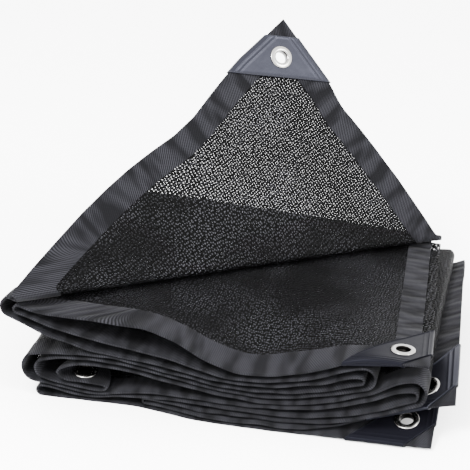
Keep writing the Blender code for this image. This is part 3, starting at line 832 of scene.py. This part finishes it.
def pucker(grid, much, seed, wave=26 * MM):
    """Waves along a tape, as smooth noise along its normals, more at its outer edge."""
    normals = normals_of(grid)
    way = lengths(grid, 0)
    count = grid.shape[1]
    for i in range(grid.shape[0]):
        for j in range(count):
            share = j / (count - 1)
            rise = noise.noise(Vector((way[i] / wave, share * 0.6, seed)))
            grid[i, j] += normals[i, j] * rise * much * (1 - 0.5 * share)
    return grid


def tape_sheet(name, grid, depths, node, much, seed):
    grid = pucker(grid, much, seed)
    way = lengths(grid, 0)
    u = np.repeat(way[:, None], grid.shape[1], axis=1)
    v = np.repeat(np.array(depths)[None, :], grid.shape[0], axis=0)
    piece = add_piece(name, grid_mesh(grid, u, v), tape_mat, [node], 50)
    thickness(piece, TAPE_THICK, 0.6 * MM)
    print(name, grid.shape, "long", round(way[-1], 3), "m")
    return piece, way[-1]


# %% The two long tapes
TAPE_COLUMNS = 6
SHOWN = {"T": 26 * MM, "B": 31.5 * MM}
_, tape_rows = rows_along(0)
long_tapes = []
for name, node, sheet, seed in (("long_tape_top", "tape_top", "T", 1),
                                ("long_tape_under", "tape_under", "B", 2)):
    depths = np.linspace(0, SHOWN[sheet], TAPE_COLUMNS)
    grid = fill([[row(sheet, d) for d in depths] for row in tape_rows], TAPE_STEP) - PILE_SHIFT
    piece, long = tape_sheet(name, grid, depths, node, PUCKER, seed)
    long_tapes.append(piece)

# %% [markdown]
# On the under sheet's upper end the tape is sewn a little way in, and a coarse knitted
# selvedge stands out beyond it. On the flap the tape runs to the very edge.

# %% The two short tapes and the selvedge
END_T = (0, 26 * MM)
END_B = (10.5 * MM, 35 * MM)
END_WIDE = 28 * MM
END_FIRST = 14 * MM
END_ROWS = 30
SELVEDGE_ALONG = (0.5 * MM, 11 * MM)
SELVEDGE_DEEP = (34 * MM, 280 * MM)
SELVEDGE_ROWS, SELVEDGE_COLUMNS = 50, 5
end_tapes = []


def end_grid(panel, t_limits, b_limits):
    t_depths = np.linspace(SHOWN["T"], DEPTH, END_ROWS)
    if panel == 1:
        t_depths = top_depths(END_FIRST, SHOWN["T"])
    b_depths = np.linspace(DEPTH, SHOWN["B"], END_ROWS)
    rows_out = []
    for s in np.linspace(0, 1, TAPE_COLUMNS):
        def row(sheet, deep, s=s):
            limits = t_limits if sheet == "T" else b_limits
            return near_end(panel, sheet, blend(limits, s), deep)
        rows_out.append(across(row, t_depths, b_depths))
    return np.array(rows_out).transpose(1, 0, 2)


for name, node, panel, t_limits, b_limits, seed in (
        ("end_tape_upper", "tape_end_upper", 1, END_T, END_B, 5),
        ("end_tape_lower", "tape_end_lower", 6, (0, 30 * MM), (0, 30 * MM), 6)):
    grid = fill(end_grid(panel, t_limits, b_limits), TAPE_STEP) - PILE_SHIFT
    widths = np.linspace(0, END_WIDE, TAPE_COLUMNS)
    piece, long = tape_sheet(name, grid, widths, node, END_PUCKER, seed)
    end_tapes.append(piece)

alongs = np.linspace(*SELVEDGE_ALONG, SELVEDGE_COLUMNS)
grid = np.array([[near_end(1, "B", a, d) for a in alongs]
                 for d in np.linspace(*SELVEDGE_DEEP, SELVEDGE_ROWS)]) - PILE_SHIFT
way = lengths(grid, 0)
u = np.repeat(way[:, None], SELVEDGE_COLUMNS, axis=1)
v = np.repeat(alongs[None, :], SELVEDGE_ROWS, axis=0)
selvedge = add_piece("net_selvedge", grid_mesh(soften(grid, 30 * MM, 0.5 * MM, 9), u, v),
                     selvedge_mat, [], 180)
thickness(selvedge, 1.2 * MM)
print("selvedge", round(way[-1], 3), "m")

# %% [markdown]
# ## The corner patches
# A patch is a flat sleeve that closes over the bound corner. Its tip is cut off, so the tape
# shows there, and its inner edge runs slantwise. Both cut edges end in a thin bead, and two
# low ribs run beside each folded side. A grid is bent round the corner and closed on itself.

# %% Build the patches
PATCH_LEG = 80 * MM
PATCH_CUT = 24.5 * MM
PATCH_WALL = 0.9 * MM
SLEEVE_GAP = 0.6 * MM
BEAD = 1.3 * MM
SIDE_STEPS = [v * MM for v in (-1.5, -1.3, -0.9, -0.3, 0.6, 1.6, 2.4, 3, 3.6, 4.4, 6.4, 7.2, 7.8,
                               8.4, 9.2, 11)]
MIDDLE_STEPS = 7


def frame_at(surface, along, deep):
    """A point of the cloth near a corner, with the cloth's normal there."""
    step = 0.5 * MM
    point = surface(along, deep)
    a = surface(along + step, deep) - surface(along - step, deep)
    b = surface(along, deep + step) - surface(along, deep - step)
    normal = np.cross(a, b)
    return point, normal / np.linalg.norm(normal)


def rib(distance, centre, half, rise):
    return rise * max(1 - ((distance - centre) / half) ** 2, 0)


def patch_lift(along, deep, size):
    """How high the plastic's outer face stands over the middle of the cloth."""
    side = min(along, deep) + SLEEVE_GAP + PATCH_WALL
    full = TAPE_THICK / 2 + SLEEVE_GAP + PATCH_WALL
    round_side = math.sqrt(max(1 - max(1 - side / (2.2 * MM), 0) ** 2, 0))
    ribs = rib(side, 4.6 * MM, 0.9 * MM, 0.5 * MM) + rib(side, 9.3 * MM, 0.8 * MM, 0.35 * MM)
    rim = min(size - PATCH_CUT, PATCH_LEG - size)
    bead = rib(rim, BEAD / 2, BEAD / 2 + 0.2 * MM, 0.5 * MM)
    return full * round_side + ribs * (rim > BEAD) + bead


def build_patch(name, surface, node, mat):
    sizes = [PATCH_CUT + v * MM for v in (0, 0.2, 0.65, 1.1, 1.4, 2.2)]
    sizes += list(np.linspace(PATCH_CUT + 5 * MM, PATCH_LEG - 5 * MM, 14))
    sizes += [PATCH_LEG - v * MM for v in (2.2, 1.4, 1.1, 0.65, 0.2, 0)]

    def ring(size, lift_of, past):
        near = [d + 1.5 * MM - past for d in SIDE_STEPS]
        middle = list(np.linspace(near[-1], size - near[-1], MIDDLE_STEPS + 2)[1:-1])
        alongs = near + middle + [size - d for d in reversed(near)]
        points = []
        for side in (1, -1):
            for along in alongs if side == 1 else alongs[::-1]:
                point, normal = frame_at(surface, along, size - along)
                points.append(point + normal * lift_of(along, size - along, size) * side)
        return points + [points[0]]

    inner = TAPE_THICK / 2 + SLEEVE_GAP
    rings = [ring(size, patch_lift, SLEEVE_GAP + PATCH_WALL) for size in sizes]
    rings += [ring(size, lambda a, d, s: inner, SLEEVE_GAP) for size in (sizes[-1], sizes[0])]
    rings.append(rings[0])
    grid = np.array(rings) - PILE_SHIFT
    zero = np.zeros(grid.shape[:2])
    bm = grid_mesh(grid, zero, zero)
    bmesh.ops.remove_doubles(bm, verts=bm.verts[:], dist=0.01 * MM)
    bmesh.ops.recalc_face_normals(bm, faces=bm.faces[:])
    piece = add_piece(name, bm, mat, [node], 40)
    print(name, "faces", len(piece.data.polygons))
    return piece


# %% [markdown]
# ## The eyelets
# An eyelet's two halves are the same here: a rolled flange that stands up from the patch and
# a barrel through the hole. Its outline is a few points, and spin turns it round the axis.

# %% Spin the eyelets
EYELET_IN = 26.5 * MM
EDGE_EYELET_IN = 17 * MM
# faces nearer to the axis than this are the inside of the barrel
BARREL = 7.2 * MM
HALF_OUTLINE = [(v * MM, h * MM) for v, h in (
    (7.3, 0.3), (7.9, 0.3), (11.6, 0.3), (12, 0.5), (11.95, 0.85), (11.5, 1.15), (10.6, 1.4),
    (9.6, 1.6), (8.6, 1.65), (7.7, 1.5), (7, 1.15), (6.6, 0.6), (6.5, 0))]


def build_eyelet(name, point, normal, seat, node):
    bm = bmesh.new()
    outline = [(r, seat + h) for r, h in HALF_OUTLINE]
    outline += [(r, -h) for r, h in reversed(outline[:-1])]
    verts = [bm.verts.new((r, 0, h)) for r, h in outline]
    edges = [bm.edges.new((a, b)) for a, b in zip(verts, verts[1:] + verts[:1])]
    bmesh.ops.spin(bm, geom=verts + edges, cent=(0, 0, 0), axis=(0, 0, 1), dvec=(0, 0, 0),
                   angle=2 * math.pi, steps=48, use_merge=True, use_duplicate=False)
    bmesh.ops.recalc_face_normals(bm, faces=bm.faces[:])
    # faces inside the barrel take the dark material, which is painted shade in the bore
    for face in bm.faces:
        face.material_index = int(face.calc_center_median().xy.length < BARREL)
    turn = Vector(normal).to_track_quat("Z", "Y").to_matrix().to_4x4()
    bm.transform(Matrix.Translation(Vector(point - PILE_SHIFT)) @ turn)
    piece = add_piece(name, bm, metal_mat, [node], 50)
    piece.data.materials.append(bore_shade_mat)
    print(name, "faces", len(piece.data.polygons))
    return piece


CORNERS = (("flap", 1, "T"), ("top", 1, "B"), ("side", 6, "B"), ("floor", 6, "T"))
bores = []
for name, panel, sheet in CORNERS:
    def surface(along, deep, p=panel, s=sheet):
        return near_end(p, s, along, deep)

    # the two flat patches take the copy whose dimmer reflection is painted shade
    mat = shade_dimmed_patch_mat if name in ("top", "floor") else patch_mat
    patch = build_patch(f"patch_{name}", surface, f"corner_{name}", mat)
    point, normal = frame_at(surface, EYELET_IN, EYELET_IN)
    seat = TAPE_THICK / 2 + SLEEVE_GAP + PATCH_WALL
    build_eyelet(f"ring_{name}", point, normal, seat, f"eyelet_{name}")
    long_tape = long_tapes[sheet == "B"]
    end_tape = end_tapes[panel == 6]
    bores.append((point, normal, (patch, long_tape, end_tape)))

roll_at = 7
share = EDGE_EYELET_IN / DEPTH
point = on_roll("B", share, roll_at)
normal = np.cross(on_roll("B", share, roll_at + 1) - on_roll("B", share, roll_at - 1),
                  on_roll("B", share * 1.2, roll_at) - on_roll("B", share * 0.8, roll_at))
normal /= np.linalg.norm(normal)
build_eyelet("ring_edge", point, normal, TAPE_THICK / 2 + SLEEVE_GAP, "eyelet_edge")
bores.append((point, normal, (long_tapes[1],)))

# %% [markdown]
# ## Holes through the cloth
# Tape and plastic have a round hole in each eyelet, so that a cord can pass. A Boolean with
# a short cylinder cuts them, and the modifiers are applied, so that the mesh is final. The
# net's own hole is hidden under the plastic, so there its faces near the bore just go.

# %% Cut the holes


def hole_cutter(point, normal, radius=7.1 * MM, long=7 * MM):
    bm = bmesh.new()
    bmesh.ops.create_cone(bm, cap_ends=True, segments=32, radius1=radius, radius2=radius,
                          depth=long)
    turn = Vector(normal).to_track_quat("Z", "Y").to_matrix().to_4x4()
    bm.transform(Matrix.Translation(Vector(point - PILE_SHIFT)) @ turn)
    mesh = bpy.data.meshes.new("hole")
    bm.to_mesh(mesh)
    bm.free()
    cutter = bpy.data.objects.new("hole", mesh)
    bpy.context.scene.collection.objects.link(cutter)
    return cutter


def settle_modifiers(piece):
    """Makes the piece's mesh what its modifiers show, and removes them."""
    shown = piece.evaluated_get(bpy.context.evaluated_depsgraph_get())
    piece.data = bpy.data.meshes.new_from_object(shown)
    piece.modifiers.clear()


cutters = []
cut_pieces = []
for point, normal, through in bores:
    cutter = hole_cutter(point, normal)
    cutters.append(cutter)
    for piece in through:
        mod = piece.modifiers.new("hole", "BOOLEAN")
        mod.operation = "DIFFERENCE"
        mod.solver = "EXACT"
        mod.object = cutter
        if piece not in cut_pieces:
            cut_pieces.append(piece)
for piece in cut_pieces:
    settle_modifiers(piece)
    print(piece.name, "faces with holes", len(piece.data.polygons))
for cutter in cutters:
    bpy.data.objects.remove(cutter)

bm = bmesh.new()
bm.from_mesh(net.data)
NEAR_BORE = 8 * MM
near = []
for face in bm.faces:
    for point, _, _ in bores[:-1]:
        if min((v.co - Vector(point - PILE_SHIFT)).length for v in face.verts) < NEAR_BORE:
            near.append(face)
            break
bmesh.ops.delete(bm, geom=near, context="FACES")
bm.to_mesh(net.data)
bm.free()
print("net faces at the bores", len(near))

# %% [markdown]
# ## Floor and light
# The photograph was taken on white paper, under a large soft light from above and in front.
# A white floor, a bright even surrounding and two area lights give the same soft shading, and
# a faint shadow close to the pile. The picture's tone curve dims white, so SKY is well above
# 1, and the cloth's colours are darker than the real ones to make up for it.

# %% Floor, surroundings and lights
bm = bmesh.new()
bmesh.ops.create_grid(bm, x_segments=1, y_segments=1, size=6)
mesh = bpy.data.meshes.new("floor")
bm.to_mesh(mesh)
bm.free()
floor_mat, _, floor_shader = new_material("white paper")
floor_shader.inputs["Base Color"].default_value = hex_colour("#ffffff")
floor_shader.inputs["Roughness"].default_value = 0.9
floor_shader.inputs["Specular IOR Level"].default_value = 0.1
mesh.materials.append(floor_mat)
floor = bpy.data.objects.new("floor", mesh)
bpy.context.scene.collection.objects.link(floor)

SKY = 7
world = bpy.data.worlds.new("studio")
world.use_nodes = True
world.node_tree.nodes["Background"].inputs["Color"].default_value = (1, 1, 1, 1)
world.node_tree.nodes["Background"].inputs["Strength"].default_value = SKY
bpy.context.scene.world = world


def area_light(name, spot, power, size):
    data = bpy.data.lights.new(name, "AREA")
    data.energy = power
    data.size = size
    lamp = bpy.data.objects.new(name, data)
    lamp.location = spot
    lamp.rotation_euler = (AIM - Vector(spot)).to_track_quat("-Z", "Y").to_euler()
    bpy.context.scene.collection.objects.link(lamp)
    return lamp


area_light("soft_front", (-0.7, -1.2, 1.9), 230, 0.7)
area_light("soft_right", (1.5, -0.6, 1.1), 80, 0.6)
